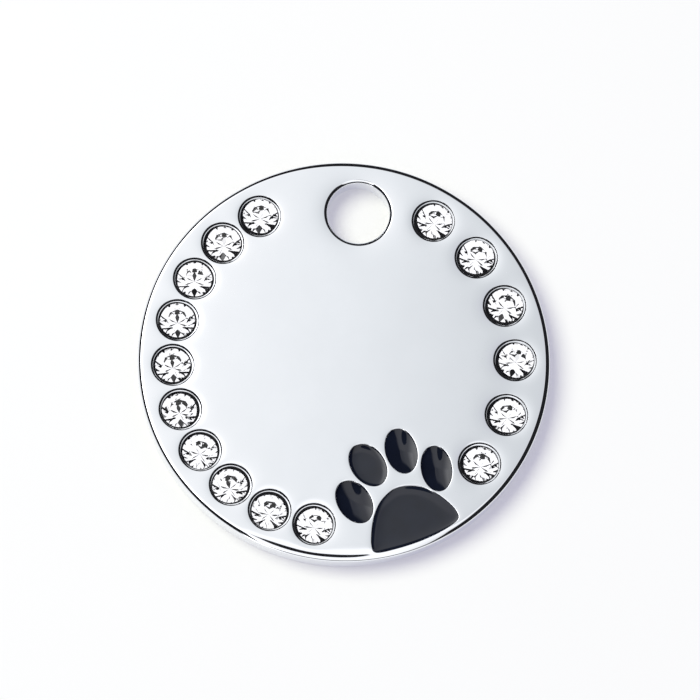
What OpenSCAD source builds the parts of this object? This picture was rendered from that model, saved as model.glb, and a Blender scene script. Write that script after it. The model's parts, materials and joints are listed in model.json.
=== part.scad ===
// Round polished pet id tag. A cast disc has a ring hole near its top edge, a row of small glass
// stones in blind pockets down each side, and a paw print filled with enamel near its rim.
// Lengths are millimetres and angles are degrees. The tag lies on its back, its face looks up
// along +Z, its ring hole is towards +Y, and the origin is the middle of its back.

/* [Disc] */
// Diameter of the disc
disc_d = 25; // [23:0.5:40]
// Thickness of the disc
disc_t = 1.65; // [1.6:0.05:3]
// Radius that rounds the front and back edges of the disc
edge_r = 0.33; // [0.1:0.01:0.5]

/* [Ring hole] */
// Diameter of the hole for the split ring
hole_d = 3.8; // [3:0.1:5]
// Radius that rounds both lips of the hole
hole_lip = 0.2; // [0.05:0.01:0.25]
// Flat metal between the hole's lip and the disc's rounded edge
hole_land = 0.73; // [0.4:0.01:1.5]

/* [Stones] */
// Diameter of a stone at its girdle, its widest place
stone_d = 2.24; // [1.9:0.02:2.4]
// Height of the girdle, the upright band round a stone
girdle_t = 0.08; // [0.06:0.01:0.12]
// Slope of the crown, the stone's upper part
crown_slope = 33; // [28:1:36]
// Slope of the pavilion, the stone's pointed lower part
pavilion_slope = 41.5; // [38:0.5:42.5]
// Height of the stone's flat top above the face of the disc
stone_proud = 0.04; // [0:0.01:0.1]
// Clearance round a stone in its pocket
pocket_gap = 0.1; // [0.06:0.01:0.14]
// Thickness of the adhesive under a stone's point
glue_t = 0.05; // [0.04:0.01:0.1]
// Depth of the adhesive's top below the girdle
glue_drop = 0.12; // [0.08:0.01:0.2]
// Radius that rounds the lip of a pocket
pocket_lip = 0.11; // [0.05:0.01:0.13]
// Flat metal between a pocket's lip and the disc's rounded edge
pocket_land = 0.47; // [0.3:0.01:0.8]
// Least metal between the lips of two pockets in the left row
left_gap = 0.13; // [0.08:0.01:1]
// Least metal between the lips of two pockets in the right row
right_gap = 0.76; // [0.1:0.01:1.5]
// Metal between the hole's lip and the first pocket's lip on the left
left_hole_gap = 2.6; // [0.5:0.01:4]
// Metal between the hole's lip and the first pocket's lip on the right
right_hole_gap = 1.15; // [0.5:0.01:4]
// Metal between the last pocket's lip and the outer toe on the left
left_paw_gap = 0.44; // [0.2:0.01:2]
// Metal between the last pocket's lip and the outer toe on the right
right_paw_gap = 0.31; // [0.2:0.01:2]

/* [Paw print] */
// Direction of the paw print from the middle of the disc
paw_turn = -62.4; // [-80:0.1:-50]
// Width of the pad along the rim of the disc
pad_w = 5.8; // [4.8:0.05:6]
// Height of the pad towards the middle of the disc
pad_h = 3.53; // [3:0.01:4]
// Flat metal between the pad's lip and the disc's rounded edge
pad_land = 0.04; // [0.02:0.01:0.5]
// Depth of the enamel's recesses below the face
recess_t = 0.5; // [0.4:0.01:0.6]
// Width of the soft lip round each recess
recess_lip = 0.06; // [0.03:0.01:0.08]
// How far the middle of an enamel fill lies below its edge
dish_t = 0.07; // [0.02:0.01:0.1]

/* [Hidden] */
$fn = 96;
// How far a cutting solid runs past the face that it cuts
over = 0.1;

disc_r = disc_d / 2;
face_r = disc_r - edge_r;

hole_r = hole_d / 2;
hole_y = face_r - hole_land - hole_lip - hole_r;

// Sizes of a stone. The radii of its table, star points and lower points are shares of the way
// from the stone's axis, or from the table's edge, to its girdle.
stone_r = stone_d / 2;
cut_count = 8;
cut_turn = 360 / cut_count;
table_share = 0.56;
star_share = 0.5;
lower_share = 0.44;
table_r = table_share * stone_r;
table_flat_r = table_r * cos(cut_turn / 2);
star_r = table_flat_r + star_share * (stone_r - table_flat_r);
lower_r = lower_share * stone_r;
pavilion_h = stone_r * tan(pavilion_slope);
crown_z = pavilion_h + girdle_t;
stone_h = crown_z + (stone_r - table_r) * tan(crown_slope);

// A pocket, the height of its floor, and the height at which every stone's girdle starts
pocket_r = stone_r + pocket_gap;
mouth_r = pocket_r + pocket_lip;
row_r = face_r - pocket_land - mouth_r;
culet_z = disc_t + stone_proud - stone_h;
pocket_z = culet_z - glue_t;
girdle_z = culet_z + pavilion_h;
glue_top_z = girdle_z - glue_drop;

// How each stone settled in its glue: its shift across the pocket as shares of the clearance, and
// its lean about X and Y in degrees. A row starts at the ring hole and takes these in turn.
left_shift_shares = [[0.65, 0.6], [0.65, 0.25], [0, 0], [0, 0.15], [0.15, 0], [-0.45, -0.45],
    [0, -0.6], [-0.45, -0.6], [-0.25, -0.88], [0.5, -0.4]];
right_shift_shares = [[0.85, 0.3], [0.35, 0.85], [0.65, 0.65], [0.8, 0.45], [0.92, 0], [0.9, 0.1]];
left_leans = [[1, -1.5], [-2, 1], [0.5, 2], [-1, -1], [1.5, 1], [-2, -2], [1, 0.5], [2, -1],
    [-1.5, 1.5], [0.5, -2]];
right_leans = [[-1, 2], [1.5, -0.5], [-0.5, -2], [2, 1], [-1.5, 1], [1, -1.5]];
// Turn of a stone about its own axis from one pocket to the next, which repeats in no short cycle
twist = 137.5;

// The paw print is laid out along the rim. A place on it is an angle from the direction of the paw
// and a height towards the middle of the disc, as shares of the pad's width and height.
rim_r = face_r - pad_land - recess_lip;
pad_shares = [[-0.46, 0], [-0.25, 0], [0, 0], [0.25, 0], [0.45, 0.02], [0.5, 0.13], [0.49, 0.34],
    [0.43, 0.6], [0.33, 0.81], [0.17, 0.95], [0, 1], [-0.16, 0.95], [-0.31, 0.82], [-0.42, 0.6],
    [-0.48, 0.34], [-0.5, 0.11]];
pad_steps = 4;
toe_steps = 44;
toe_place_shares = [[-0.655, 0.92], [-0.346, 1.53], [0.346, 1.55], [0.647, 0.95]];
toe_w_shares = [0.341, 0.346, 0.322, 0.314];
toe_l_share = 0.795;
toe_turns = [10, 12, -7, -13];
toe_count = len(toe_turns);
toe_l = toe_l_share * pad_h;

// How far below the face each enamel fill meets the wall of its recess, as shares of the recess's
// depth, the pad first, and how flat its middle is: 2 is a round bowl, and a high power is flat
sink_shares = [0.17, 0.5, 0.5, 0.17, 0.36];
bowl_powers = [7, 2, 5, 2, 2];
// Where the rings of an enamel fill's top surface lie between its middle and its edge
dish_ring_shares = [1, 0.96, 0.88, 0.74, 0.56, 0.36, 0.18];

// Angle at the disc's middle between two places at radii ra and rb that lie d apart
function turn_apart(ra, rb, d) = acos((ra * ra + rb * rb - d * d) / (2 * ra * rb));

function toe_w(k) = toe_w_shares[k] * pad_w;
function rim_turn(share) = paw_turn + share * pad_w / rim_r * 180 / PI;
function rim_height_r(share) = rim_r - share * pad_h;
function toe_turn_at(k) = rim_turn(toe_place_shares[k].x);
function toe_r_at(k) = rim_height_r(toe_place_shares[k].y);

// The rows of stones run from the ring hole to the outer toes, and hold as many pockets as fit
left_start = 90 + turn_apart(row_r, hole_y, hole_r + hole_lip + left_hole_gap + mouth_r);
left_end = 360 + toe_turn_at(0)
    - turn_apart(row_r, toe_r_at(0), toe_w(0) / 2 + recess_lip + left_paw_gap + mouth_r);
right_start = 90 - turn_apart(row_r, hole_y, hole_r + hole_lip + right_hole_gap + mouth_r);
right_end = toe_turn_at(toe_count - 1) + turn_apart(row_r, toe_r_at(toe_count - 1),
    toe_w(toe_count - 1) / 2 + recess_lip + right_paw_gap + mouth_r);
function least_turn(gap) = 2 * asin((mouth_r + gap / 2) / row_r);
left_count = floor((left_end - left_start) / least_turn(left_gap)) + 1;
right_count = floor((right_start - right_end) / least_turn(right_gap)) + 1;
left_step = (left_end - left_start) / (left_count - 1);
right_step = (right_end - right_start) / (right_count - 1);

// Every pocket of both rows: its angle, its stone's shift, lean and turn
function seats(count, start, step, shift_shares, leans, first) =
    [for (i = [0 : count - 1]) [
        start + i * step,
        shift_shares[i % len(shift_shares)] * pocket_gap,
        leans[i % len(leans)],
        (first + i) * twist]];
left_seats = seats(left_count, left_start, left_step, left_shift_shares, left_leans, 0);
right_seats = seats(
    right_count, right_start, right_step, right_shift_shares, right_leans, left_count);

function two_digits(i) = str(i < 10 ? "0" : "", i);
function row_names(head, seats) = [for (i = [1 : len(seats)]) str(head, two_digits(i))];
left_stones = row_names("left_stone_", left_seats);
right_stones = row_names("right_stone_", right_seats);
left_beds = row_names("left_stone_bed_", left_seats);
right_beds = row_names("right_stone_bed_", right_seats);
fills = concat(["pad_enamel"], [for (k = [1 : toe_count]) str("toe_enamel_", k)]);

// Points, rings and outlines

function at(r, turn, z) = [r * cos(turn), r * sin(turn), z];

// Height at x, y of the plane through three points
function plane_z(a, b, c, x, y) = let(n = cross(b - a, c - a))
    a.z - (n.x * (x - a.x) + n.y * (y - a.y)) / n.z;

// A closed smooth curve through the given points, with steps points for each of them
function blend4(a, b, c, d, t) = (2 * b + t * (c - a) + t * t * (2 * a - 5 * b + 4 * c - d)
    + t * t * t * (3 * b - 3 * c + d - a)) / 2;
function smooth(points, steps) = let(n = len(points))
    [for (i = [0 : n - 1]) for (s = [0 : steps - 1])
        blend4(points[(i + n - 1) % n], points[i], points[(i + 1) % n], points[(i + 2) % n],
            s / steps)];

// The outline moved outwards by d, and the outline drawn in towards its middle
function outward(points, j) =
    let(n = len(points), run = points[(j + 1) % n] - points[(j + n - 1) % n])
    [run.y, -run.x] / norm(run);
function grown(points, d) = [for (j = [0 : len(points) - 1]) points[j] + d * outward(points, j)];
function middle(points) = [for (p = points) 1] * points / len(points);
function drawn_in(points, share) = let(m = middle(points)) [for (p = points) m + share * (p - m)];
function ring(points, z) = [for (p = points) [p.x, p.y, z]];

function rim_place(shares) =
    rim_height_r(shares.y) * [cos(rim_turn(shares.x)), sin(rim_turn(shares.x))];
function pad_outline() = smooth([for (s = pad_shares) rim_place(s)], pad_steps);
function turned(p, angle) =
    [p.x * cos(angle) - p.y * sin(angle), p.x * sin(angle) + p.y * cos(angle)];
function toe_outline(k) = [for (j = [0 : toe_steps - 1])
    let(a = j * 360 / toe_steps, p = [toe_l / 2 * cos(a), toe_w(k) / 2 * sin(a)])
        rim_place(toe_place_shares[k]) + turned(p, paw_turn + 180 + toe_turns[k])];
function fill_outline(k) = k == 0 ? pad_outline() : toe_outline(k - 1);

// A solid between closed rings of points, from its lowest ring to its last
module loft(rings) {
    n = len(rings[0]);
    last = len(rings) - 1;
    sides = [for (k = [0 : last - 1]) for (j = [0 : n - 1])
        [k * n + j, (k + 1) * n + j, (k + 1) * n + (j + 1) % n, k * n + (j + 1) % n]];
    ends = [[for (j = [0 : n - 1]) j], [for (j = [n - 1 : -1 : 0]) last * n + j]];
    polyhedron([for (r = rings) each r], concat(ends, sides), convexity = 4);
}

// A stone, cut as a round brilliant. Its point is at the origin and its table looks up. The girdle
// dips where a facet crosses it, so that every facet of the crown and the pavilion is flat.
module stone_shape() {
    n = cut_count;
    half = cut_turn / 2;
    band = 4 * n;
    function crown_slope_z(r) = crown_z + (stone_r - r) * tan(crown_slope);
    function pavilion_slope_z(r) = pavilion_h - (stone_r - r) * tan(pavilion_slope);
    tables = [for (k = [0 : n - 1]) at(table_r, k * cut_turn, stone_h)];
    stars = [for (k = [0 : n - 1])
        at(star_r, k * cut_turn + half, crown_slope_z(star_r * cos(half)))];
    lowers = [for (k = [0 : n - 1])
        at(lower_r, k * cut_turn + half, pavilion_slope_z(lower_r * cos(half)))];
    function girdle_point(j, level, inner) = let(p = at(stone_r, j * half / 2, level))
        j % 2 == 0 ? p : [p.x, p.y, plane_z(inner[floor(j / 4)], at(stone_r, (j - 1) * half / 2, level),
            at(stone_r, (j + 1) * half / 2, level), p.x, p.y)];
    tops = [for (j = [0 : band - 1]) girdle_point(j, crown_z, stars)];
    bottoms = [for (j = [0 : band - 1]) girdle_point(j, pavilion_h, lowers)];

    // Where each group of points starts in the list
    star = n;
    top = 2 * n;
    bottom = top + band;
    lower = bottom + band;
    culet = lower + n;
    faces = concat(
        [[for (k = [n - 1 : -1 : 0]) k]],
        [for (k = [0 : n - 1]) [k, (k + 1) % n, star + k]],
        [for (k = [0 : n - 1]) [k, star + k, top + 4 * k, star + (k + n - 1) % n]],
        [for (k = [0 : n - 1]) each [
            [star + k, top + 4 * k + 2, top + 4 * k + 1, top + 4 * k],
            [star + k, top + (4 * k + 4) % band, top + 4 * k + 3, top + 4 * k + 2],
            [lower + k, bottom + 4 * k, bottom + 4 * k + 1, bottom + 4 * k + 2],
            [lower + k, bottom + 4 * k + 2, bottom + 4 * k + 3, bottom + (4 * k + 4) % band],
            [culet, lower + (k + n - 1) % n, bottom + 4 * k, lower + k]]],
        [for (j = [0 : band - 1]) [top + j, top + (j + 1) % band, bottom + (j + 1) % band, bottom + j]]);
    polyhedron(concat(tables, stars, tops, bottoms, lowers, [[0, 0, 0]]), faces);
}

// A stone where it settled in its pocket. It leans about the middle of its girdle.
module seated_stone(seat) {
    translate(at(row_r, seat[0], girdle_z) + [seat[1].x, seat[1].y, 0])
        rotate([seat[2].x, seat[2].y, seat[3]])
            translate([0, 0, -pavilion_h])
                stone_shape();
}

module stone(seat) {
    color("WhiteSmoke")
        seated_stone(seat);
}

// The adhesive fills its pocket up to just below the girdle, and takes the shape of the stone
module stone_bed(seat) {
    color("DimGray")
        difference() {
            translate(at(row_r, seat[0], pocket_z))
                cylinder(r = pocket_r, h = glue_top_z - pocket_z);
            seated_stone(seat);
        }
}

// A round hole from z0 up through the face at z1, with a rounded lip there
module lipped_hole(r, lip, z0, z1) {
    rotate_extrude()
        difference() {
            translate([0, z0])
                square([r + lip, z1 + over - z0]);
            translate([r, z0 - over])
                square([lip + over, z1 - lip - z0 + over]);
            translate([r + lip, z1 - lip])
                circle(lip);
        }
}

// The recess for one enamel fill, with a soft lip of two bevels
module recess(k) {
    edge = fill_outline(k);
    knee = recess_lip * (1 - cos(45));
    loft([
        ring(edge, disc_t - recess_t),
        ring(edge, disc_t - recess_lip),
        ring(grown(edge, knee), disc_t - knee),
        ring(grown(edge, recess_lip + over * (recess_lip - knee) / knee), disc_t + over)]);
}

module enamel(k) {
    edge = fill_outline(k);
    edge_z = disc_t - sink_shares[k] * recess_t;
    color([0.12, 0.12, 0.14])
        loft(concat([ring(edge, disc_t - recess_t)], [for (s = dish_ring_shares)
            ring(drawn_in(edge, s), edge_z - dish_t * (1 - pow(s, bowl_powers[k])))]));
}

// The plain disc, turned from its half section
module disc() {
    rotate_extrude()
        union() {
            square([face_r, disc_t]);
            translate([0, edge_r])
                square([disc_r, disc_t - 2 * edge_r]);
            for (z = [edge_r, disc_t - edge_r])
                translate([face_r, z])
                    circle(edge_r);
        }
}

module tag_body() {
    color("Gainsboro")
        difference() {
            disc();
            translate([0, hole_y, 0]) {
                lipped_hole(hole_r, hole_lip, -over, disc_t);
                mirror([0, 0, 1])
                    lipped_hole(hole_r, hole_lip, -disc_t / 2, 0);
            }
            for (seat = concat(left_seats, right_seats))
                translate(at(row_r, seat[0], 0))
                    lipped_hole(pocket_r, pocket_lip, pocket_z, disc_t);
            for (k = [0 : toe_count])
                recess(k);
        }
}

tag_body();
for (k = [0 : toe_count])
    enamel(k);
for (i = [0 : left_count - 1]) {
    stone(left_seats[i]);
    stone_bed(left_seats[i]);
}
for (i = [0 : right_count - 1]) {
    stone(right_seats[i]);
    stone_bed(right_seats[i]);
}
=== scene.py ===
import json
import math

import bpy
import numpy as np
from mathutils import Matrix, Vector
from mathutils.geometry import delaunay_2d_cdt

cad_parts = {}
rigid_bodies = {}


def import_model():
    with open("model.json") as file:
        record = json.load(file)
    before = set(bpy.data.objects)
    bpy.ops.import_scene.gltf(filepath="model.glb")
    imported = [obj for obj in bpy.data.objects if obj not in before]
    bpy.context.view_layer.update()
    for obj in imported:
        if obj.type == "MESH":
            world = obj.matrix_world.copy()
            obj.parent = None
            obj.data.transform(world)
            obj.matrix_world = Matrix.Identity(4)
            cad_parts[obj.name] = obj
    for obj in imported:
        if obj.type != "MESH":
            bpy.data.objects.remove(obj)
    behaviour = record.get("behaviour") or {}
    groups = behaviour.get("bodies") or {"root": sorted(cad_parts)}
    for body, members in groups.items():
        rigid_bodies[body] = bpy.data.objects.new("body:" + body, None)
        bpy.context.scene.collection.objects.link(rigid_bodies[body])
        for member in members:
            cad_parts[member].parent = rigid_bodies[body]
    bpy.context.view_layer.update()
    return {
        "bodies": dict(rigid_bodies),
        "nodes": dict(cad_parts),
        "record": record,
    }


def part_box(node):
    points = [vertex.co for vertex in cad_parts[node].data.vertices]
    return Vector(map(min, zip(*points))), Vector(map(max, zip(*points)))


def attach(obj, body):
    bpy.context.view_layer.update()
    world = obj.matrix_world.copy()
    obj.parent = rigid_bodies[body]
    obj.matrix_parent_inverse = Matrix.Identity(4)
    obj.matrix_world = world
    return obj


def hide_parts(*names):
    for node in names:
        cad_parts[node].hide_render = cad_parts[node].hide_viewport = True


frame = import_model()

scene = bpy.context.scene

# Everything is built in millimetres, as in the CAD source, and written in metres.
MM = 0.001
NODES = frame["nodes"]
BODY = next(iter(frame["bodies"]))
UP = np.array([0, 0, 1.0])


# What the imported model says

def box_mm(node):
    low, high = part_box(node)
    return np.array(low) / MM, np.array(high) / MM


def named(head):
    return sorted(n for n in NODES if n.startswith(head))


FACE_Z = float(box_mm("tag_body")[1][2])
DISC_R = float(box_mm("tag_body")[1][0])

ring_hole = next(m for m in frame["record"]["mounts"] if m["name"] == "ring_hole")
HOLE_R = ring_hole["dims"]["r_mm"]
HOLE = np.array(ring_hole["pos_m"][:2]) / MM

BEDS = named("left_stone_bed_") + named("right_stone_bed_")
STONES = [b.replace("_bed", "") for b in BEDS]
# Each pocket's middle, its radius and the height of its floor
POCKETS = []
for bed in BEDS:
    low, high = box_mm(bed)
    POCKETS.append(((low[:2] + high[:2]) / 2, (high[0] - low[0]) / 2, low[2]))
POCKET_R = POCKETS[0][1]
FILLS = ["pad_enamel"] + named("toe_enamel_")

# The radii that round the disc's edge and the lips of its openings, as in the CAD source
EDGE_R = 0.33
HOLE_LIP = 0.2
POCKET_LIP = 0.11
RECESS_LIP = 0.06

# Where the flat face ends: at the rim and at the mouth of each opening
FACE_R = DISC_R - EDGE_R
HOLE_MOUTH_R = HOLE_R + HOLE_LIP
MOUTH_R = POCKET_R + POCKET_LIP


def mesh_points(node):
    """A CAD node's vertices in millimetres, and its mesh."""
    mesh = NODES[node].data
    points = np.zeros(len(mesh.vertices) * 3)
    mesh.vertices.foreach_get("co", points)
    return points.reshape(-1, 3) / MM, mesh


def outline_of(node):
    """The outline of an enamel fill's foot, in order round its middle."""
    points, _ = mesh_points(node)
    foot = points[points[:, 2] < points[:, 2].min() + 1e-3][:, :2]
    foot = np.unique(np.round(foot, 4), axis=0)
    middle = (foot.min(0) + foot.max(0)) / 2
    turn = np.arctan2(foot[:, 1] - middle[1], foot[:, 0] - middle[0])
    return foot[np.argsort(turn)]


def finer(points, steps):
    """A closed smooth curve through the points, with steps points for each of them."""
    a, b, c, d = np.roll(points, 1, 0), points, np.roll(points, -1, 0), np.roll(points, -2, 0)
    square, cube = 2 * a - 5 * b + 4 * c - d, 3 * b - 3 * c + d - a
    rows = []
    for k in range(steps):
        t = k / steps
        rows.append((2 * b + t * (c - a) + t * t * square + t ** 3 * cube) / 2)
    return np.stack(rows, 1).reshape(-1, 2)


def grown(points, by):
    """A closed outline moved outwards."""
    run = np.roll(points, -1, 0) - np.roll(points, 1, 0)
    out = np.stack([run[:, 1], -run[:, 0]], 1)
    return points + by * out / np.linalg.norm(out, axis=1, keepdims=True)


OUTLINES = {f: finer(outline_of(f), 3 if f == "pad_enamel" else 2) for f in FILLS}
RECESS_MOUTHS = {f: grown(OUTLINES[f], RECESS_LIP) for f in FILLS}
RECESS_Z = {f: float(box_mm(f)[0][2]) for f in FILLS}


# The camera

def make_camera():
    """Looks 15 degrees off the plumb line through a long lens, at the photograph's turn."""
    tilt, roll, heading = math.radians(15), math.radians(9), math.radians(86.72)
    distance, view_width, sensor = 500.0, 42.37, 36.0
    # The picture's middle lies this far right of and above the middle of the face
    aim_right, aim_up = 0.366, 0.62
    ahead = math.sin(tilt)
    forward = Vector((math.cos(heading) * ahead, math.sin(heading) * ahead, -math.cos(tilt)))
    level = Vector((math.sin(heading), -math.cos(heading), 0))
    rise = level.cross(forward)
    right = math.cos(roll) * level + math.sin(roll) * rise
    up = -math.sin(roll) * level + math.cos(roll) * rise
    at = Vector((0, 0, FACE_Z)) + aim_right * right + aim_up * up - distance * forward
    data = bpy.data.cameras.new("camera")
    data.sensor_width = sensor
    data.lens = sensor * distance / view_width
    data.clip_start, data.clip_end = 0.05, 10
    camera = bpy.data.objects.new("camera", data)
    turn = Matrix((right, up, -forward)).transposed().to_4x4()
    camera.matrix_world = Matrix.Translation(at * MM) @ turn
    scene.collection.objects.link(camera)
    bpy.context.scene.camera = camera


make_camera()
scene.view_settings.view_transform = "Standard"


# Node helpers

class Graph:
    """Short calls for the nodes of one material or world."""

    def __init__(self, tree):
        self.tree = tree
        tree.nodes.clear()

    def node(self, kind, **values):
        made = self.tree.nodes.new(kind)
        for key, value in values.items():
            setattr(made, key, value)
        return made

    def put(self, value, socket):
        """Links an output to a socket, or sets the socket to a plain value."""
        if isinstance(value, bpy.types.NodeSocket):
            self.tree.links.new(value, socket)
        elif value is not None:
            socket.default_value = value

    def math(self, operation, a, b=None, c=None, clamp=False):
        made = self.node("ShaderNodeMath", operation=operation, use_clamp=clamp)
        for value, socket in zip((a, b, c), made.inputs):
            self.put(value, socket)
        return made.outputs[0]

    def measure(self, operation, way, fixed):
        """The dot product with a fixed direction, or the distance from it."""
        made = self.node("ShaderNodeVectorMath", operation=operation)
        self.put(way, made.inputs[0])
        self.put(tuple(fixed), made.inputs[1])
        return made.outputs["Value"]

    def split(self, vector):
        """The x, y and z of a vector."""
        made = self.node("ShaderNodeSeparateXYZ")
        self.put(vector, made.inputs[0])
        return made.outputs

    def smooth(self, value, low, high, to_low=0.0, to_high=1.0):
        """Runs softly from to_low at low up to to_high at high."""
        made = self.node("ShaderNodeMapRange", interpolation_type="SMOOTHSTEP")
        for v, socket in zip((value, low, high, to_low, to_high), made.inputs):
            self.put(v, socket)
        return made.outputs[0]

    def mix(self, share, a, b):
        """Colour a where share is 0, and colour b where it is 1."""
        made = self.node("ShaderNodeMix", data_type="RGBA")
        self.put(share, made.inputs[0])
        for colour, socket in ((a, made.inputs[6]), (b, made.inputs[7])):
            self.put((*colour, 1) if isinstance(colour, tuple) else colour, socket)
        return made.outputs[2]

    def noise(self, vector, scale, detail):
        made = self.node("ShaderNodeTexNoise")
        self.put(vector, made.inputs["Vector"])
        made.inputs["Scale"].default_value = scale
        made.inputs["Detail"].default_value = detail
        return made.outputs[0]

    def ramp(self, value, stops):
        made = self.node("ShaderNodeValToRGB")
        self.put(value, made.inputs[0])
        ramp = made.color_ramp
        while len(ramp.elements) < len(stops):
            ramp.elements.new(0.5)
        for element, (place, colour) in zip(ramp.elements, stops):
            element.position = place
            element.color = (*colour, 1)
        return made.outputs[0]

    def cloud(self, vector, scale, detail, low, high):
        """A soft cloud between two colours."""
        return self.ramp(self.noise(vector, scale, detail), [(0.3, low), (0.7, high)])

    def glow(self, colour):
        made = self.node("ShaderNodeEmission")
        self.put(colour, made.inputs[0])
        return made.outputs[0]

    def surface(self, share, a, b):
        """The material's surface: shader a where share is 0, and shader b where it is 1."""
        blend = self.node("ShaderNodeMixShader")
        for value, socket in zip((share, a, b), blend.inputs):
            self.put(value, socket)
        self.put(blend.outputs[0], self.node("ShaderNodeOutputMaterial").inputs[0])


# Materials

class Finish(Graph):
    """A material whose colour and gloss vary a little over the surface."""

    BUMP_HEIGHT = 0.02 * MM

    def __init__(self, name):
        self.material = bpy.data.materials.new(name)
        self.material.use_nodes = True
        super().__init__(self.material.node_tree)
        shader = self.node("ShaderNodeBsdfPrincipled")
        self.sockets = shader.inputs
        self.put(shader.outputs[0], self.node("ShaderNodeOutputMaterial").inputs[0])
        self.place = self.node("ShaderNodeTexCoord").outputs["Object"]

    def colour(self, scale, detail, low, high):
        self.put(self.cloud(self.place, scale, detail, low, high), self.sockets["Base Color"])

    def gloss(self, scale, detail, start, stop, low, high):
        """The roughness runs from low to high where the noise runs from start to stop."""
        uneven = self.noise(self.place, scale, detail)
        self.put(self.smooth(uneven, start, stop, low, high), self.sockets["Roughness"])

    def bump(self, scale, detail, strength):
        made = self.node("ShaderNodeBump")
        made.inputs["Strength"].default_value = strength
        made.inputs["Distance"].default_value = self.BUMP_HEIGHT
        self.put(self.noise(self.place, scale, detail), made.inputs["Height"])
        self.put(made.outputs[0], self.sockets["Normal"])


def chrome():
    """Polished chrome plate: a faint cloud in the polish and a very low waviness."""
    finish = Finish("polished_chrome")
    finish.sockets["Metallic"].default_value = 1
    finish.colour(420, 3, (0.87, 0.89, 0.925), (0.89, 0.91, 0.945))
    finish.gloss(420, 3, 0.3, 0.75, 0.03, 0.06)
    finish.bump(900, 1, 0.02)
    return finish.material


def glass():
    """Clear cut glass, with a few faint smears."""
    finish = Finish("clear_glass")
    finish.sockets["Transmission Weight"].default_value = 1
    finish.sockets["IOR"].default_value = 1.54
    finish.colour(700, 1, (0.985, 0.99, 1), (1, 1, 1))
    finish.gloss(3000, 1, 0.55, 0.8, 0.0, 0.003)
    return finish.material


def foil():
    """The silver mirror coat on the back of a stone."""
    finish = Finish("silver_foil")
    finish.sockets["Metallic"].default_value = 1
    finish.colour(1500, 2, (0.95, 0.95, 0.96), (0.985, 0.985, 0.985))
    finish.gloss(2500, 2, 0.55, 0.8, 0.0, 0.02)
    return finish.material


def seam_shade_finish():
    """The dark lacquer that seals a stone into its pocket. Its near-black colour is painted shade, standing
    in for the shadowed gap round the stone.
    """
    finish = Finish("back_lacquer")
    # A weak gloss and a near-black colour: painted shade of the gap round the stone
    finish.sockets["Specular IOR Level"].default_value = 0.15
    finish.colour(4000, 3, (0.006, 0.006, 0.007), (0.02, 0.02, 0.023))
    finish.gloss(5000, 2, 0.3, 0.8, 0.15, 0.35)
    return finish.material


def enamel():
    """Glossy black enamel, a little blue."""
    finish = Finish("black_enamel")
    finish.sockets["IOR"].default_value = 1.5
    finish.colour(900, 3, (0.006, 0.008, 0.016), (0.008, 0.011, 0.022))
    finish.gloss(1800, 2, 0.4, 0.8, 0.03, 0.07)
    return finish.material


def shaded_adhesive():
    """Adhesive, glossy and a little uneven in colour. Its dark colour is painted shade, so that the gap
    round each stone reads black.
    """
    finish = Finish("stone_adhesive")
    # Near black: painted shade deep in the pocket round the stone
    finish.colour(2600, 3, (0.012, 0.012, 0.014), (0.04, 0.04, 0.043))
    finish.gloss(4000, 2, 0.3, 0.8, 0.08, 0.3)
    finish.bump(3500, 2, 0.2)
    return finish.material


CHROME, GLASS, FOIL, SEAM_SHADE = chrome(), glass(), foil(), seam_shade_finish()
ENAMEL, SHADED_ADHESIVE = enamel(), shaded_adhesive()


# Meshes with a normal at every corner

class Shape:
    """Collects faces with a normal for each corner, then welds their points into one mesh."""

    def __init__(self):
        self.points, self.normals, self.faces, self.count = [], [], [], 0

    def add(self, points, normals, faces):
        self.points.append(np.asarray(points, float))
        self.normals.append(np.asarray(normals, float))
        self.faces += [tuple(i + self.count for i in f) for f in faces]
        self.count += len(points)

    def strip(self, rings, ring_normals, inwards=False):
        """Joins closed counterclockwise rings, from the top one down. An opening's faces look inwards."""
        n = len(rings[0])
        faces = []
        for k in range(len(rings) - 1):
            for j in range(n):
                i = (j + 1) % n
                face = (k * n + j, (k + 1) * n + j, (k + 1) * n + i, k * n + i)
                faces.append(face[::-1] if inwards else face)
        self.add(np.concatenate(rings), np.concatenate(ring_normals), faces)

    def cap(self, ring, normal):
        """Closes a ring with a fan from its middle."""
        n = len(ring)
        points = np.vstack([ring, ring.mean(0)])
        order = [(j, (j + 1) % n, n) if normal[2] > 0 else ((j + 1) % n, j, n) for j in range(n)]
        self.add(points, np.tile(normal, (n + 1, 1)), order)

    def build(self, name, material):
        points, normals = np.concatenate(self.points), np.concatenate(self.normals)
        _, first, weld = np.unique(np.round(points, 5), axis=0, return_index=True, return_inverse=True)
        weld = weld.ravel()
        faces, corners = [], []
        for f in self.faces:
            welded = [int(weld[i]) for i in f]
            keep = [k for k in range(len(f)) if welded[k] != welded[k - 1]]
            if len(keep) < 3:
                continue
            faces.append([welded[k] for k in keep])
            corners += [normals[f[k]] for k in keep]
        mesh = bpy.data.meshes.new(name)
        mesh.from_pydata((points[first] * MM).tolist(), [], faces)
        mesh.polygons.foreach_set("use_smooth", [True] * len(mesh.polygons))
        corners = np.array(corners)
        corners /= np.linalg.norm(corners, axis=1, keepdims=True)
        mesh.normals_split_custom_set(corners.tolist())
        mesh.materials.append(material)
        made = bpy.data.objects.new(name, mesh)
        scene.collection.objects.link(made)
        return made


def circle(middle, r, n):
    turn = np.arange(n) * 2 * math.pi / n
    return np.stack([middle[0] + r * np.cos(turn), middle[1] + r * np.sin(turn)], 1)


def lift(outline, z):
    return np.column_stack([outline, np.broadcast_to(z, len(outline))])


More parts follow.
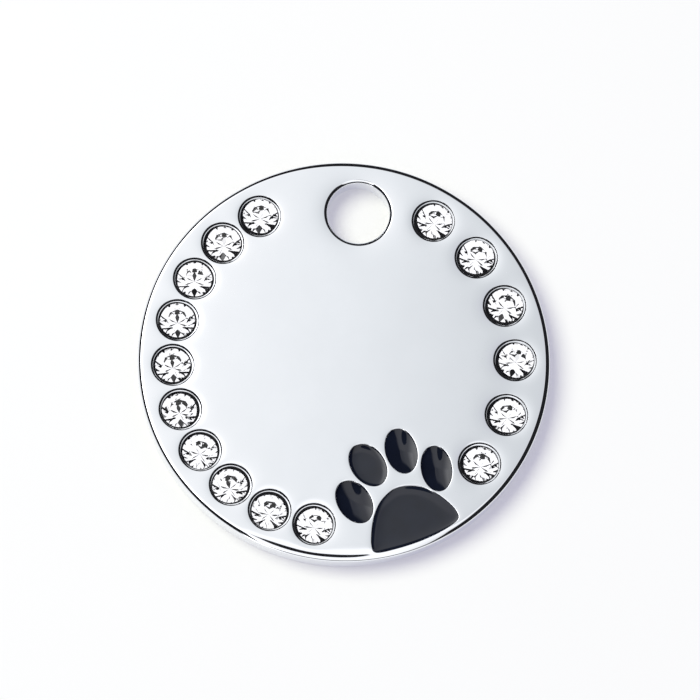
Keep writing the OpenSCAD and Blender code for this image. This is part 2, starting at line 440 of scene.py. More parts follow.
def flat_net(loops, filling=()):
    """Counterclockwise triangles between closed loops in the plane and the points that fill them."""
    edges, start = [], 0
    for loop in loops:
        n = len(loop)
        edges += [(start + j, start + (j + 1) % n) for j in range(n)]
        start += n
    points = [Vector(p) for p in np.concatenate([*loops, *filling])]
    made = delaunay_2d_cdt(points, edges, [], 0, 1e-7, False)
    flat = np.array([tuple(v) for v in made[0]])
    triangles = []
    for a, b, c in made[2]:
        u, v = flat[b] - flat[a], flat[c] - flat[a]
        triangles.append((a, b, c) if u[0] * v[1] - u[1] * v[0] > 0 else (a, c, b))
    return flat, triangles, flat[np.array(triangles)].mean(1)


def in_circle(points, middle, r, n):
    """Which points are inside a circle that is drawn as a polygon of n sides."""
    return np.linalg.norm(points - middle, axis=1) < r * math.cos(math.pi / n)


# The face: flat, but polished down a little round every opening

# How far the polish lowered the metal at an opening's lip, and how far out that reaches
POCKET_DIP, POCKET_REACH = 0.022, 0.30
HOLE_DIP, HOLE_REACH = 0.035, 0.55
RECESS_DIP, RECESS_REACH = 0.006, 0.12
RIM_DIP, RIM_REACH = 0.003, 0.21
# Further from a recess than this, its dip is nothing
RECESS_FAR = 6

# How much more the polish wore the rim down at the front, where that is, as a compass angle, and how
# far along that direction the wear begins and how soon it is full, as shares of the radius
RIM_FRONT = 0.038
WORN_AT = -82
WORN_FROM, WORN_BLEND = 0.82, 0.1

# Points round the rim, the hole's mouth and a pocket's mouth
RIM_N, HOLE_N, MOUTH_N = 360, 144, 72
# How far from each edge the rings of points lie that follow it, and the further ones round the hole
FOLLOWED = (0.04, 0.09, 0.15, 0.23, 0.34, 0.5, 0.75)
FOLLOWED_HOLE = (1.0, 1.35, 1.8)
# Spacing of the points that fill the rest of the face, and their distance from every edge
GRID, GRID_CLEAR = 0.6, 0.8


def outline_distance(points, outline):
    """Distance from points to a closed outline, and the direction away from it."""
    a, b = outline, np.roll(outline, -1, 0)
    run = b - a
    best = np.full(len(points), 1e9)
    away = np.zeros((len(points), 2))
    for k in range(len(a)):
        t = np.clip(((points - a[k]) @ run[k]) / (run[k] @ run[k]), 0, 1)
        gap = points - (a[k] + t[:, None] * run[k])
        d = np.linalg.norm(gap, axis=1)
        closer = d < best
        best[closer] = d[closer]
        away[closer] = gap[closer] / np.maximum(d[closer], 1e-9)[:, None]
    return best, away


def inside(points, outline):
    """Which points are inside a closed outline."""
    a, b = outline, np.roll(outline, -1, 0)
    hit = np.zeros(len(points), bool)
    for k in range(len(a)):
        crosses = (a[k, 1] > points[:, 1]) != (b[k, 1] > points[:, 1])
        with np.errstate(divide="ignore", invalid="ignore"):
            x = a[k, 0] + (points[:, 1] - a[k, 1]) / (b[k, 1] - a[k, 1]) * (b[k, 0] - a[k, 0])
        hit ^= crosses & (points[:, 0] < x)
    return hit


def front_share(points):
    """How much a point is at the front of the tag, where the rim is worn most: 0 to 1."""
    worn = math.radians(WORN_AT)
    far = np.maximum(np.linalg.norm(points, axis=1), 1e-9)
    along = points @ np.array([math.cos(worn), math.sin(worn)]) / far
    share = np.clip((along - WORN_FROM) / WORN_BLEND, 0, 1)
    return share * share * (3 - 2 * share)


def face_field(points):
    """Height of the face and its normal at points in the plane."""
    drop = np.zeros(len(points))
    slope = np.zeros((len(points), 2))

    def add(d, away, dip, reach):
        nonlocal drop, slope
        d = np.maximum(d, 0)
        part = dip * np.exp(-d / reach)
        drop += part
        slope += (part / reach)[:, None] * away

    for middle, _, _ in POCKETS:
        gap = points - middle
        far = np.linalg.norm(gap, axis=1)
        add(far - MOUTH_R, gap / np.maximum(far, 1e-9)[:, None], POCKET_DIP, POCKET_REACH)
    gap = points - HOLE
    far = np.linalg.norm(gap, axis=1)
    add(far - HOLE_MOUTH_R, gap / np.maximum(far, 1e-9)[:, None], HOLE_DIP, HOLE_REACH)
    for mouth in RECESS_MOUTHS.values():
        near = np.linalg.norm(points - mouth.mean(0), axis=1) < RECESS_FAR
        d, away = np.full(len(points), 1e3), np.zeros((len(points), 2))
        if near.any():
            d[near], away[near] = outline_distance(points[near], mouth)
            on = d < 1e-6
            if on.any():
                index = [int(np.argmin(((mouth - p) ** 2).sum(1))) for p in points[on]]
                away[on] = (grown(mouth, 1.0) - mouth)[index]
        add(d, away, RECESS_DIP, RECESS_REACH)
    far = np.linalg.norm(points, axis=1)
    dip = RIM_DIP + RIM_FRONT * front_share(points)
    add(FACE_R - far, -points / np.maximum(far, 1e-9)[:, None], dip, RIM_REACH)
    normal = np.column_stack([-slope, np.ones(len(points))])
    return FACE_Z - drop, normal / np.linalg.norm(normal, axis=1, keepdims=True)


def edge_gaps(points):
    """How far points lie from each edge of the face, one row for each edge, below 0 in an opening."""
    rows = [FACE_R - np.linalg.norm(points, axis=1)]
    rows.append(np.linalg.norm(points - HOLE, axis=1) - HOLE_MOUTH_R)
    rows += [np.linalg.norm(points - m, axis=1) - MOUTH_R for m, _, _ in POCKETS]
    for mouth in RECESS_MOUTHS.values():
        d, _ = outline_distance(points, mouth)
        d[inside(points, mouth)] *= -1
        rows.append(d)
    return np.array(rows)


def face_points():
    """The loops that bound the face, and points inside it that follow every opening."""
    loops = [circle((0, 0), FACE_R, RIM_N), circle(HOLE, HOLE_MOUTH_R, HOLE_N)]
    loops += [circle(m, MOUTH_R, MOUTH_N) for m, _, _ in POCKETS]
    loops += list(RECESS_MOUTHS.values())
    kept = []
    for k, loop in enumerate(loops):
        for d in FOLLOWED + (FOLLOWED_HOLE if k == 1 else ()):
            if k == 0:
                ring = circle((0, 0), FACE_R - d, RIM_N)
            elif k == 1:
                ring = circle(HOLE, HOLE_MOUTH_R + d, HOLE_N if d < 1 else HOLE_N // 2)
            elif k < 2 + len(POCKETS):
                ring = circle(POCKETS[k - 2][0], MOUTH_R + d, MOUTH_N)
            else:
                ring = grown(loop, d)
                if d > 0.4:
                    ring = ring[::2]
            # A ring stops where another edge is nearer
            gaps = edge_gaps(ring)
            ok = (gaps[k] > d * 0.9) & (np.delete(gaps, k, 0).min(0) > d * 0.97)
            kept.append(ring[ok])
    grid = np.arange(-12, 12.01, GRID)
    spread = np.array([(x, y) for x in grid for y in grid])
    kept.append(spread[edge_gaps(spread).min(0) > GRID_CLEAR])
    return loops, kept


def face_mesh(shape):
    """Adds the face, open at every opening, and returns the loops that bound it."""
    loops, filling = face_points()
    flat, triangles, middles = flat_net(loops, filling)
    out = np.linalg.norm(middles, axis=1) > FACE_R
    out |= in_circle(middles, HOLE, HOLE_MOUTH_R, HOLE_N)
    for m, _, _ in POCKETS:
        out |= in_circle(middles, m, MOUTH_R, MOUTH_N)
    for mouth in RECESS_MOUTHS.values():
        out |= inside(middles, mouth)
    height, normal = face_field(flat)
    shape.add(lift(flat, height), normal, [t for t, o in zip(triangles, out) if not o])
    return loops


# The body's other surfaces, which run on from the face

# The rim's roll: share of its width, and the slope there at the right, at the left and at the front
RIM_ROLL = ((0.12, 4, 4, 11.8), (0.24, 9, 10, 13), (0.35, 15, 18, 16), (0.45, 20, 25, 21),
            (0.6, 27, 36, 27), (0.75, 35, 46, 31), (0.87, 43, 58, 45), (0.93, 58, 68, 56),
            (1.0, 80, 84, 68))
# How far left the rim's left slopes begin, and how soon they are full, as shares of the radius
LEFT_FROM, LEFT_BLEND = 0.1, 0.5
# The hole's roll: share of its width, and the slope there
HOLE_ROLL = ((0.08, 14), (0.2, 20), (0.4, 27), (0.55, 33), (0.65, 39), (0.85, 42), (0.93, 60), (1.0, 90))
# Steps of the quarter rounds at the back, of the rim and of the hole
RIM_STEPS, HOLE_STEPS = 12, 7

# A pocket's bevel: its mean and its greatest width, the side that the buffing widened most in each row,
# how much more it took there, and how uneven it is
BEVEL_WIDTH, BEVEL_MOST = 0.11, 0.12
BUFFED_LEFT, BUFFED_RIGHT = 150, 200
BUFFED_MORE, BEVEL_UNEVEN = 0.4, 0.3
# Its slope, what it adds at the right, its slope at the top, and where the top begins and is full
BEVEL_SLOPE, BEVEL_ADDED, BEVEL_TOP_SLOPE = 32, 6, 38
TOP_FROM, TOP_BLEND = 0.45, 0.4
# The bevel's profile: shares of its width, and shares of its slope there
BEVEL_STEPS = ((0.06, 0.6), (0.14, 0.92), (0.5, 1.0), (0.9, 1.05), (1.0, 1.1))
# The hollow between bevel and ledge, the ledge's mean slope and how uneven it is, the radius of its inner
# edge, how much further in that is at the top, its rounding, and the height of the undercut's lip
HOLLOW = 0.008
LEDGE_SLOPE, LEDGE_UNEVEN = 4, 0.8
LEDGE_R, LEDGE_SHIFT = 1.165, 0.03
LEDGE_EDGE, LEDGE_LIP = 0.012, 0.05
# What is added to a stone's number for the ripples of its ledge, and of its seam on the crown and the ledge
LEDGE_SEED, CROWN_SEED, LAP_SEED = 30, 60, 90


def sloped_rings(loop, side, stops):
    """Rings that run on sideways from a loop on the face. A stop is how far out, and the slope there."""
    height, normal = face_field(loop)
    rings, normals = [lift(loop, height)], [normal]
    far, steep = np.zeros(len(loop)), np.arccos(normal[:, 2])
    for run, slope in stops:
        slope = np.radians(slope + 0 * far)
        step = run - far
        drop = step * np.tan((steep + slope) / 2)
        rings.append(rings[-1] + side * step[:, None] - UP * drop[:, None])
        normals.append(UP * np.cos(slope)[:, None] + side * np.sin(slope)[:, None])
        far, steep = run + 0 * far, slope
    return rings, normals


def lower_round(rings, normals, side, radius, steps):
    """Adds the quarter round that leads from the wall under the last ring to the back."""
    wall = rings[-1][:, :2]
    for k in range(steps + 1):
        a = k / steps * math.pi / 2
        out = wall - side[:, :2] * radius * (1 - math.cos(a))
        rings.append(lift(out, radius * (1 - math.sin(a))))
        normals.append(side * math.cos(a) - UP * math.sin(a))


def inwards(loop, middle):
    """Unit directions in the plane from a round loop to its middle."""
    way = middle - loop
    return np.column_stack([way / np.linalg.norm(way, axis=1, keepdims=True), np.zeros(len(loop))])


def ripple(turn, seed, waves=5):
    """A smooth uneven line round a stone, from -1 to 1, that is the same at every run."""
    dice = np.random.RandomState(seed)
    phases, sizes = dice.uniform(0, 2 * math.pi, waves), dice.uniform(0.3, 1, waves)
    return sum(a * np.sin((k + 1) * turn + p) for k, (a, p) in enumerate(zip(sizes, phases))) / sizes.sum()


def rim(shape, loop):
    """The rim: rolled over at the top, upright, and rounded at the back."""
    side = -inwards(loop, np.zeros(2))
    front = front_share(loop)
    left = np.clip((-loop[:, 0] / FACE_R - LEFT_FROM) / LEFT_BLEND, 0, 1)
    stops = []
    for share, right_slope, left_slope, worn in RIM_ROLL:
        rolled = right_slope + (left_slope - right_slope) * left
        stops.append((share * EDGE_R, rolled + (worn - rolled) * front))
    rings, normals = sloped_rings(loop, side, stops)
    rings.append(rings[-1])
    normals.append(side)
    lower_round(rings, normals, side, EDGE_R, RIM_STEPS)
    shape.strip(rings, normals)


def hole(shape, loop):
    """The ring hole's wall, rolled over at the top and rounded at the back."""
    side = inwards(loop, HOLE)
    rings, normals = sloped_rings(loop, side, [(share * HOLE_LIP, slope) for share, slope in HOLE_ROLL])
    lower_round(rings, normals, side, HOLE_LIP, HOLE_STEPS)
    shape.strip(rings, normals, inwards=True)


def back(shape):
    """The flat back, between the rim and the ring hole."""
    loops = [circle((0, 0), FACE_R, RIM_N), circle(HOLE, HOLE_MOUTH_R, HOLE_N)]
    flat, triangles, middles = flat_net(loops)
    out = in_circle(middles, HOLE, HOLE_MOUTH_R, HOLE_N)
    faces = [(a, c, b) for (a, b, c), o in zip(triangles, out) if not o]
    shape.add(lift(flat, 0), np.tile(-UP, (len(flat), 1)), faces)


def bevel(mouth, middle, turn, seed):
    """A pocket's soft bevel, wider on one side and steeper at the right and at the top, and its width."""
    buffed = math.radians(BUFFED_LEFT if middle[0] < 0 else BUFFED_RIGHT)
    uneven = BUFFED_MORE * np.cos(turn - buffed) + BEVEL_UNEVEN * ripple(turn, seed)
    width = np.minimum(BEVEL_WIDTH * (1 + uneven), BEVEL_MOST)
    top = np.clip((np.sin(turn) - TOP_FROM) / TOP_BLEND, 0, 1)
    slope = BEVEL_SLOPE + BEVEL_ADDED * np.clip(np.cos(turn), 0, 1)
    slope += (BEVEL_TOP_SLOPE - slope) * top
    stops = [(share * width, slope * steep) for share, steep in BEVEL_STEPS]
    rings, normals = sloped_rings(mouth, inwards(mouth, middle), stops)
    return rings, normals, width


def seat_rings(mouth, middle, seed):
    """A pocket's edge: its bevel, a bright ledge just below the face, and the undercut below that."""
    turn = np.arctan2(mouth[:, 1] - middle[1], mouth[:, 0] - middle[0])
    side = inwards(mouth, middle)
    rings, normals, width = bevel(mouth, middle, turn, seed)
    # A tight hollow leads over to the ledge, which falls a little towards the stone
    tilt = np.radians(LEDGE_SLOPE * (1 + LEDGE_UNEVEN * ripple(turn, seed + LEDGE_SEED)))
    ledge = UP * np.cos(tilt)[:, None] + side * np.sin(tilt)[:, None]
    start = rings[-1] + side * HOLLOW - UP * 0.5 * HOLLOW
    run = MOUTH_R - LEDGE_R + LEDGE_SHIFT * np.sin(turn) - width - HOLLOW
    finish = start + side * run[:, None] - UP * (run * np.tan(tilt))[:, None]
    rings += [start, finish]
    normals += [ledge, ledge]
    # The ledge's rounded inner edge, and the undercut back to the pocket's wall
    for a in np.linspace(0, math.pi / 2, 4)[1:]:
        rings.append(finish + side * LEDGE_EDGE * math.sin(a) - UP * LEDGE_EDGE * (1 - math.cos(a)))
        normals.append(ledge * math.cos(a) + side * math.sin(a))
    below = rings[-1] - UP * LEDGE_LIP
    wall = below.copy()
    wall[:, :2] = middle - side[:, :2] * POCKET_R
    rings += [below, below, wall, wall]
    normals += [side, -UP + 0 * side, -UP + 0 * side, side]
    return rings, [v / np.linalg.norm(v, axis=1, keepdims=True) for v in normals], side, finish


def pocket_hole(shape, loop, pocket, seed):
    """A blind pocket: its edge, its wall and its floor."""
    middle, r, floor_z = pocket
    rings, normals, side, _ = seat_rings(loop, middle, seed)
    foot = lift(middle + (loop - middle) * r / MOUTH_R, floor_z)
    shape.strip(rings + [foot], normals + [side], inwards=True)
    shape.cap(foot, UP)


def recess(shape, fill):
    """A recess of the paw print, with a round lip."""
    mouth, outline = RECESS_MOUTHS[fill], OUTLINES[fill]
    side = np.column_stack([(outline - mouth) / RECESS_LIP, np.zeros(len(mouth))])
    arc = [(RECESS_LIP * math.sin(math.radians(a)), a) for a in range(10, 91, 10)]
    rings, normals = sloped_rings(mouth, side, arc)
    foot = lift(outline, RECESS_Z[fill])
    shape.strip(rings + [foot], normals + [side], inwards=True)
    shape.cap(foot, UP)


def body_shell():
    """The body's whole skin, closed."""
    shape = Shape()
    rim_loop, hole_loop, *mouths = face_mesh(shape)
    rim(shape, rim_loop)
    hole(shape, hole_loop)
    back(shape)
    for number, (pocket, mouth) in enumerate(zip(POCKETS, mouths)):
        pocket_hole(shape, mouth, pocket, number)
    for fill in FILLS:
        recess(shape, fill)
    return shape.build("tag_shell", CHROME)


tag_shell = body_shell()
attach(tag_shell, BODY)
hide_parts("tag_body")


# The stones' silver backs, the adhesive and the lacquer seam. The adhesive and the seam are dark as painted
# shade of the gap round each stone

# The foil's outer and inner side, and the hollow in the adhesive, as shares of the stone's own size
FOIL_OUT, FOIL_IN, GLUE_HOLLOW = 1.0035, 0.992, 1.006
# How far the adhesive stands above the girdle's foot at the stone, and below the face at the wall, and
# how uneven it is at both
GLUE_RISE, GLUE_RISE_UNEVEN = 0.03, 0.01
GLUE_DEPTH, GLUE_DEPTH_UNEVEN = 0.26, 0.015
# Its rows of points from stone to wall, how hollow it is between them, where 1 is straight, and how far it
# runs into the wall and the floor
GLUE_ROWS, GLUE_CURVE = 6, 1.4
GLUE_IN_WALL, GLUE_IN_FLOOR = 0.01, 0.004
# How far the seam laps over the crown and over the ledge, and how uneven both are
SEAM_OVER, SEAM_LAP = 0.06, 0.022
SEAM_OVER_UNEVEN, SEAM_LAP_UNEVEN = 0.5, 0.9
# The seam's thickness on the crown and on the ledge, its rise along the ledge, its sag between the two,
# and how far it hangs over the ledge's edge
CROWN_FILM, LEDGE_FILM = 0.005, 0.004
LAP_RISE, SEAM_SAG, SEAM_BRINK = 0.1, 0.02, 0.008
# How far its hidden side lies inside the stone and behind the ledge, and below the girdle's top, the
# girdle's foot, the ledge's edge and the ledge
SEAM_IN = 0.03
BELOW_GIRDLE, BELOW_FOOT, BELOW_EDGE, BELOW_LEDGE = 0.02, 0.05, 0.12, 0.02
# Points round a seam
SEAM_N = 96
# The girdle's thickness and the rise of the crown, as in the CAD source
GIRDLE_T, CROWN_RISE = 0.08, 0.65


def new_piece(name, points, faces, material, smooth=()):
    """A mesh piece from points in millimetres, that rides on the tag."""
    data = bpy.data.meshes.new(name)
    data.from_pydata((np.asarray(points) * MM).tolist(), [], faces)
    for index in smooth:
        data.polygons[index].use_smooth = True
    data.materials.append(material)
    made = bpy.data.objects.new(name, data)
    scene.collection.objects.link(made)
    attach(made, BODY)
    return made


def pavilion(node):
    """The lower facets of a CAD stone: their corners and their faces, the middle of the girdle's lower
    edge and the corners that lie round it, in order, and the stone's axis."""
    points, mesh = mesh_points(node)
    # The axis is the normal of the table, the largest face that looks up
    areas = {}
    for p in mesh.polygons:
        if p.normal.z > 0.9:
            key = tuple(round(c, 3) for c in p.normal)
            areas[key] = areas.get(key, 0) + p.area
    axis = np.array(max(areas, key=areas.get))
    axis /= np.linalg.norm(axis)
    tip = points[np.argmin(points @ axis)]
    lower = [p for p in mesh.polygons if np.array(p.normal) @ axis < -0.3]
    used = sorted({i for p in lower for i in p.vertices})
    corners, weld = np.unique(np.round(points[used], 4), axis=0, return_inverse=True)
    at = {i: int(w) for i, w in zip(used, weld.ravel())}
    faces = [tuple(at[i] for i in p.vertices) for p in lower]
    # The girdle's lower edge is made of the edges that only one lower facet has
    edges = {(f[k - 1], f[k]) for f in faces for k in range(len(f))}
    ring = sorted({i for e in edges if (e[1], e[0]) not in edges for i in e})
    hub = tip + axis * float(((corners[ring] - tip) @ axis).max())
    turn = np.arctan2(corners[ring, 1] - hub[1], corners[ring, 0] - hub[0])
    ring = [ring[k] for k in np.argsort(turn)]
    return corners, faces, hub, ring, axis


def foil_back(node):
    """A thin silver coat on the pavilion, closed all round. The glass of the pavilion runs inside it."""
    corners, faces, hub, ring, _ = pavilion(node)
    n = len(corners)
    points = np.concatenate([hub + (corners - hub) * FOIL_OUT, hub + (corners - hub) * FOIL_IN])
    both = list(faces) + [tuple(i + n for i in reversed(f)) for f in faces]
    both += [(a, b, b + n, a + n) for a, b in zip(ring, ring[1:] + ring[:1])]
    new_piece(node.replace("stone", "stone_foil"), points, both, FOIL)


def adhesive(bed, node, pocket, seed):
    """Adhesive that fills a pocket round the stone and creeps up the wall of the pocket."""
    corners, faces, hub, ring, axis = pavilion(node)
    middle, r, floor_z = pocket
    n = len(ring)
    corners = hub + (corners - hub) * GLUE_HOLLOW
    foot = corners[ring]
    turn = np.arctan2(foot[:, 1] - hub[1], foot[:, 0] - hub[0])
    uneven = ripple(turn, seed)
    inner = foot + axis * (GLUE_RISE + GLUE_RISE_UNEVEN * uneven[:, None])
    wall = lift(middle + (r + GLUE_IN_WALL) * np.column_stack([np.cos(turn), np.sin(turn)]),
                FACE_Z - GLUE_DEPTH + GLUE_DEPTH_UNEVEN * uneven)
    rings = [inner]
    for k in range(1, GLUE_ROWS + 1):
        t = k / GLUE_ROWS
        row = inner * (1 - t) + wall * t
        row[:, 2] = inner[:, 2] + (wall[:, 2] - inner[:, 2]) * t ** GLUE_CURVE
        rings.append(row)
    bottom = floor_z - GLUE_IN_FLOOR
    rings.append(lift(wall[:, :2], bottom))
    points = np.concatenate([corners] + rings + [[[middle[0], middle[1], bottom]]])
    index = [list(ring)] + [[len(corners) + k * n + j for j in range(n)] for k in range(len(rings))]
    made_faces = [tuple(reversed(f)) for f in faces]
    hollow_faces = len(made_faces)
    for upper, lower in zip(index, index[1:]):
        for j in range(n):
            i = (j + 1) % n
            made_faces.append((upper[j], lower[j], lower[i], upper[i]))
    smooth = range(hollow_faces, len(made_faces))
    last = len(points) - 1
    made_faces += [(index[-1][(j + 1) % n], index[-1][j], last) for j in range(n)]
    made = new_piece(bed.replace("bed", "adhesive"), points, made_faces, SHADED_ADHESIVE, smooth)
    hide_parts(bed)


def seam(node, pocket, number):
    """The dark seam round a stone: lacquer that fills the gap and laps unevenly over crown and ledge. Its
    darkness is painted shade for that gap.
    """
    corners, _, hub, ring, axis = pavilion(node)
    r = float(np.linalg.norm(corners[ring] - hub, axis=1).mean())
    mouth = circle(pocket[0], MOUTH_R, SEAM_N)
    _, _, side, ledge = seat_rings(mouth, pocket[0], number)
    turn = np.arctan2(-side[:, 1], -side[:, 0])
    out = -side + np.outer(side @ axis, axis)
    out /= np.linalg.norm(out, axis=1, keepdims=True)
    over = (SEAM_OVER * (1 + SEAM_OVER_UNEVEN * ripple(turn, number + CROWN_SEED)))[:, None]
    lap = (SEAM_LAP * (1 + SEAM_LAP_UNEVEN * ripple(turn, number + LAP_SEED)))[:, None]
    # The side that shows, from the ledge to the crown
    on_ledge = ledge - side * lap + UP * (LAP_RISE * lap + LEDGE_FILM)
    brink = ledge + side * SEAM_BRINK + UP * LEDGE_FILM
    crown = hub + out * (r - over) + axis * (GIRDLE_T + over * CROWN_RISE + CROWN_FILM)
    sag = brink * 0.5 + crown * 0.5 - UP * SEAM_SAG
    # The hidden side, inside the stone and behind the ledge
    girdle = hub + out * (r - SEAM_IN) + axis * (GIRDLE_T - BELOW_GIRDLE)
    foot = hub + out * (r - SEAM_IN) - axis * BELOW_FOOT
    under = ledge - side * SEAM_IN - UP * BELOW_EDGE
    root = on_ledge - UP * BELOW_LEDGE
    rings = [on_ledge, brink, sag, crown, girdle, foot, under, root]
    n, m = len(mouth), len(rings)
    faces = []
    for k in range(m):
        q = (k + 1) % m
        for j in range(n):
            i = (j + 1) % n
            faces.append((k * n + i, q * n + i, q * n + j, k * n + j))
    name = node.replace("stone", "stone_lacquer")
    new_piece(name, np.concatenate(rings), faces, SEAM_SHADE, range(len(faces)))


for number, (bed, stone, pocket) in enumerate(zip(BEDS, STONES, POCKETS)):
    foil_back(stone)
    adhesive(bed, stone, pocket, number)
    seam(stone, pocket, number)


# Enamel fills

# How each fill set: how far its middle lies below its edge, the power of its bowl, and its lean to the
# right. A power of 2 is a round bowl, a higher one is flatter in the middle and a lower one more pointed.
SETTLED = dict(zip(FILLS, ((0.07, 7, 0), (0.15, 1.7, 0.06), (0.07, 5, 0), (0.2, 1.7, 0.09),
                           (0.18, 1.7, 0.08))))
# Rings of points in a fill's top
FILL_RINGS = 16


def enamel_fill(node):
    """A fill with a smooth hollow top, down to the floor of its recess."""
    edge = OUTLINES[node]
    edge_z = float(box_mm(node)[1][2])
    dish, power, tilt = SETTLED[node]
    lean = np.array([tilt, 0])
    middle = edge.mean(0)
    out = grown(edge, 1.0) - edge
    reach = ((edge - middle) * out).sum(1)
    shape = Shape()
    rings, normals = [], []
    for share in np.sin(np.linspace(math.pi / 2, 0.04, FILL_RINGS)):
        slope = dish * power * share ** (power - 1) / reach
        normal = np.column_stack([lean - slope[:, None] * out, np.ones(len(edge))])
        ring = middle + share * (edge - middle)
        rings.append(lift(ring, edge_z - dish * (1 - share ** power) - (ring - edge.min(0)) @ lean))
        normals.append(normal / np.linalg.norm(normal, axis=1, keepdims=True))
    shape.strip(rings, normals, inwards=True)
    shape.cap(rings[-1], np.array([*lean, 1.0]))
    side = np.column_stack([out, np.zeros(len(edge))])
    shape.strip([rings[0], lift(edge, RECESS_Z[node])], [side, side])
    shape.cap(lift(edge, RECESS_Z[node]), -UP)
    made = shape.build(node.replace("enamel", "fill"), ENAMEL)
    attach(made, BODY)
    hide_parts(node)


for fill in FILLS:
    enamel_fill(fill)


# The CAD nodes' finishes. Only the stones stay in view

for name, node in NODES.items():
    if "_bed_" in name:
        finish_of = SHADED_ADHESIVE
    elif "stone" in name:
        finish_of = GLASS
    elif "enamel" in name:
        finish_of = ENAMEL
    else:
        finish_of = CHROME
    for material_slot in node.material_slots:
        material_slot.material = finish_of


# Floor, light and what the chrome mirrors

# Colours of the light: the ceiling, the windows and the table that mirrors see, what is dark there, the
# fill that surfaces see, and the white that the camera sees
CEILING = (1.14, 1.14, 1.16)
WINDOW = (4.0, 4.0, 4.0)
TABLE = (0.95, 0.95, 0.965)
DARK = (0.015, 0.015, 0.017)
FILL = (0.39, 0.373, 0.57)
WHITE = (0.984, 0.984, 0.984)
# The floor's paper, and the share of it that is white whatever falls on it
PAPER_LOW, PAPER_HIGH = (0.962, 0.962, 0.962), (0.968, 0.968, 0.968)
PAPER_WHITE = 0.3
FLOOR_HALF = 1.2
# The dark walls that the chrome mirrors: compass angle, and how high they reach there
WALLS = ((-180, 0.74), (-162, 0.76), (-144, 0.85), (-123, 0.86), (-114, 0.6), (-50, 0.62), (-35, 0.85),
         (-9, 0.92), (36, 0.92), (65, 0.85), (91, 0.87), (108, 0.8), (122, 0.73), (150, 0.7), (180, 0.74))
# Where the stones' walls end at the left, how much higher they are at the right, and how soft every
# wall's upper edge is
STONE_WALLS, STONE_WALLS_ADDED, WALL_BLUR = 0.79, 0.04, 0.04
# The softbox: the height it hangs at, its width and depth, and the width that its tones run across
SOFTBOX_Z, SOFTBOX_W, SOFTBOX_D, SOFTBOX_SPAN = 0.15, 0.22, 0.15, 0.1
SOFTBOX_TONES = ((0.0, (4, 4, 4)), (0.2, (2, 2, 2)), (0.3, (1.2, 1.2, 1.2)), (0.36, (1.06, 1.06, 1.06)),
                 (0.52, (0.91, 0.925, 0.935)), (0.66, (0.73, 0.75, 0.765)), (0.8, (0.65, 0.66, 0.7)),
                 (0.95, (0.5, 0.5, 0.55)))


def scaled(colour, share):
    return tuple(share * c for c in colour)


def toward(heading, zenith):
    """A direction from its compass angle, from +X, and its angle from straight up, in degrees."""
    h, e = math.radians(heading), math.radians(zenith)
    return Vector((math.cos(h) * math.sin(e), math.sin(h) * math.sin(e), math.cos(e)))


def spot(g, way, heading, zenith, near, far):
    """A round spot in the sky: 1 closer to a direction than near, and 0 beyond far."""
    return g.smooth(g.measure("DISTANCE", way, toward(heading, zenith)), near, far, 1, 0)


def stage_material(name):
    """A material of the studio. Its glow isn't sampled as a lamp."""
    material = bpy.data.materials.new(name)
    material.use_nodes = True
    material.cycles.emission_sampling = "NONE"
    return material, Graph(material.node_tree)


def stage_mesh(name, points, faces, material):
    mesh = bpy.data.meshes.new(name)
    mesh.from_pydata(points, [], faces)
    mesh.materials.append(material)
    made = bpy.data.objects.new(name, mesh)
    scene.collection.objects.link(made)
    return made


def make_floor():
    """White paper that keeps the tag's shadow."""
    material, g = stage_material("floor_paper")
    place = g.node("ShaderNodeTexCoord").outputs["Object"]
    paper = g.node("ShaderNodeBsdfDiffuse")
    g.put(g.cloud(place, 60, 2, PAPER_LOW, PAPER_HIGH), paper.inputs["Color"])
    path = g.node("ShaderNodeLightPath").outputs
    mirrored = g.math("MAXIMUM", path["Is Glossy Ray"], path["Is Transmission Ray"])
    seen = g.math("MAXIMUM", path["Is Camera Ray"], mirrored)
    g.surface(g.math("MULTIPLY", seen, PAPER_WHITE), paper.outputs[0], g.glow((*WHITE, 1)))
    s = FLOOR_HALF
    stage_mesh("floor", [(-s, -s, 0), (s, -s, 0), (s, s, 0), (-s, s, 0)], [(0, 1, 2, 3)], material)


def gathered_studio(g, way, z):
    """What the stones gather: a bright ceiling over dark walls, and one dark spot."""
    right = g.smooth(g.measure("DOT_PRODUCT", way, toward(45, 90)), -0.1, 0.5)
    low = g.math("MULTIPLY_ADD", right, STONE_WALLS_ADDED, STONE_WALLS)
    open_sky = g.smooth(z, low, g.math("ADD", low, WALL_BLUR))
    studio = g.mix(open_sky, DARK, scaled(CEILING, 1.12))
    return g.mix(spot(g, way, -80, 15, 0.1, 0.13), studio, DARK)


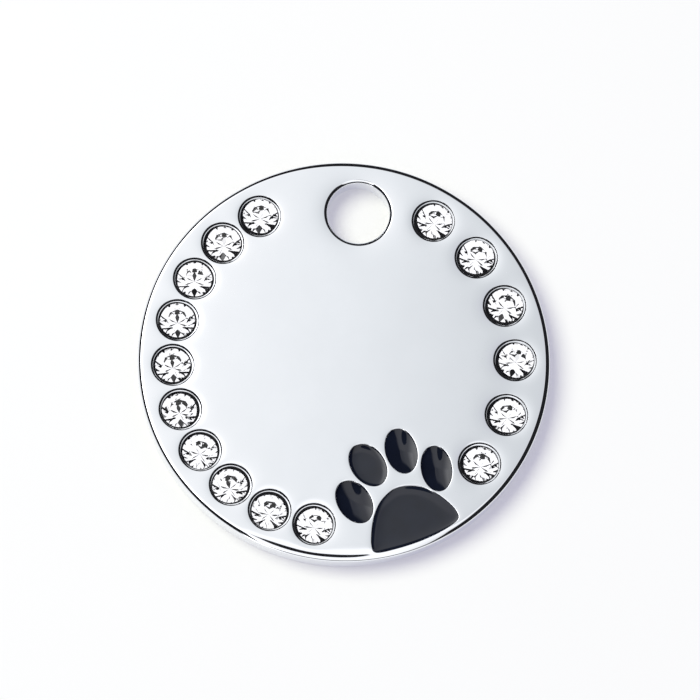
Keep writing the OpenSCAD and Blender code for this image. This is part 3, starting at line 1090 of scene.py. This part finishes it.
def mirrored_studio(g, way, x, y, z):
    """What the chrome mirrors: a ceiling that is brightest at the left and dimmer at the right, over dark
    walls that are open low down at the front."""
    east = g.measure("DOT_PRODUCT", way, toward(15, 90))
    bright = g.mix(g.smooth(east, 0.1, 0.5), CEILING, scaled(CEILING, 0.6))
    bright = g.mix(g.smooth(x, -0.5, -0.15, 1, 0), bright, WINDOW)
    compass = g.math("MULTIPLY_ADD", g.math("ARCTAN2", y, x), 1 / (2 * math.pi), 0.5)
    low = g.ramp(compass, [((heading + 180) / 360, (top, top, top)) for heading, top in WALLS])

    # The opening at the front, about 40 degrees to each side
    level = g.math("SQRT", g.math("MULTIPLY_ADD", g.math("MULTIPLY", z, -1.0), z, 1.0))
    ahead = g.measure("DOT_PRODUCT", way, toward(-81, 90))
    front = g.smooth(g.math("MULTIPLY_ADD", level, -0.77, ahead), 0, 0.05)
    front = g.math("MULTIPLY", front, g.smooth(z, 0.27, 0.33, 1, 0))
    closed = g.smooth(z, low, g.math("ADD", low, WALL_BLUR), 1, 0)
    studio = g.mix(g.math("SUBTRACT", closed, front, clamp=True), bright, DARK)

    # A window at the upper left, and the dark camera above the front
    studio = g.mix(spot(g, way, 140, 42, 0.05, 0.19), studio, WINDOW)
    camera = g.math("MULTIPLY", spot(g, way, -97, 8.2, 0.118, 0.133), g.smooth(x, -0.14, -0.11))
    return g.mix(camera, studio, DARK)


def make_world():
    """White for the camera, an even light for the surfaces, and a studio for what mirrors or bends light."""
    world = bpy.data.worlds.new("studio")
    scene.world = world
    world.use_nodes = True
    g = Graph(world.node_tree)
    way = g.node("ShaderNodeTexCoord").outputs["Generated"]
    x, y, z = g.split(way)
    path = g.node("ShaderNodeLightPath").outputs

    mirror = mirrored_studio(g, way, x, y, z)
    studio = g.mix(path["Is Transmission Ray"], mirror, gathered_studio(g, way, z))
    studio = g.mix(g.smooth(z, 0.0, 0.04, 1, 0), studio, TABLE)

    # A ray that a matt surface sent on sees the even light, also after a mirror
    mirrored = g.math("MAXIMUM", path["Is Glossy Ray"], path["Is Transmission Ray"])
    mirrored = g.math("SUBTRACT", mirrored, path["Diffuse Depth"], clamp=True)
    even = g.mix(g.smooth(z, 0.0, 0.9), scaled(FILL, 0.55), FILL)
    colour = g.mix(mirrored, even, studio)
    colour = g.mix(path["Is Camera Ray"], colour, WHITE)
    background = g.node("ShaderNodeBackground")
    g.put(colour, background.inputs[0])
    g.put(background.outputs[0], g.node("ShaderNodeOutputWorld").inputs[0])


def make_softbox():
    """A big diffuser above the tag, bright at its left and falling off to the right. Only mirrors see it."""
    material, g = stage_material("softbox_cloth")
    x, y, _ = g.split(g.node("ShaderNodeTexCoord").outputs["Object"])
    tone = g.ramp(g.math("MULTIPLY_ADD", x, 1 / SOFTBOX_SPAN, 0.5), SOFTBOX_TONES)
    wide = g.math("MULTIPLY", g.smooth(x, -0.055, -0.04), g.smooth(x, 0.032, 0.048, 1, 0))
    deep = g.math("MULTIPLY", g.smooth(y, 0.012, 0.022), g.smooth(y, 0.07, 0.09, 1, 0))
    clear = g.node("ShaderNodeBsdfTransparent").outputs[0]
    g.surface(g.math("MULTIPLY", wide, deep), clear, g.glow(tone))
    w, d, h = SOFTBOX_W / 2, SOFTBOX_D, SOFTBOX_Z
    made = stage_mesh("softbox", [(-w, 0, h), (w, 0, h), (w, d, h), (-w, d, h)], [(0, 3, 2, 1)], material)
    made.visible_camera = made.visible_diffuse = False
    made.visible_transmission = made.visible_shadow = False


def make_key():
    """The main lamp, up at the left: its shadow falls to the lower right."""
    data = bpy.data.lights.new("key", "AREA")
    data.shape = "DISK"
    data.size = 0.65
    data.energy = 7.42
    data.color = (0.97, 1.0, 0.76)
    lamp = bpy.data.objects.new("key", data)
    place = 0.9 * toward(163, 33)
    lamp.location = place
    lamp.rotation_euler = (-place).to_track_quat("-Z", "Y").to_euler()
    lamp.visible_glossy = lamp.visible_transmission = False
    scene.collection.objects.link(lamp)


make_floor()
make_world()
make_softbox()
make_key()

bpy.context.view_layer.update()
